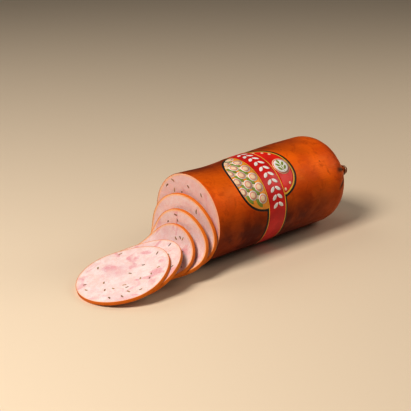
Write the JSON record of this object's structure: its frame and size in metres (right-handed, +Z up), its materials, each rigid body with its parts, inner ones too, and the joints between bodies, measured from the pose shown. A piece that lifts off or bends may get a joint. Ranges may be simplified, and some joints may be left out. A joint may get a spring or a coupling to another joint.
{
  "type": "cured caraway sausage with cut slices",
  "caption": "Large cured sausage lying on its side, cut at one end, with slices fanned on the board in front of the cut and a printed wrap.",
  "frame": {"origin": "middle of the narrow flat underneath the sausage, on the plane it rests on", "axes": "+X along the sausage towards its tied end, +Z up; the slices lie towards -X"},
  "size_m": [0.3138, 0.0936, 0.0855],
  "materials": {
    "casing": "smoked orange-brown casing with a soft gloss",
    "cut_meat": "moist pale pink cut meat with caraway",
    "wrap": "thin printed wrap, red with cream and yellow",
    "clip_wire": "soft drawn wire, dull"
  },
  "bodies": {
    "root": {"sausage": "casing", "slice_1": "cut_meat", "slice_2": "cut_meat", "slice_3": "cut_meat", "slice_4": "cut_meat", "slice_5": "cut_meat", "label": "wrap", "clip": "clip_wire"}
  },
  "joints": []
}
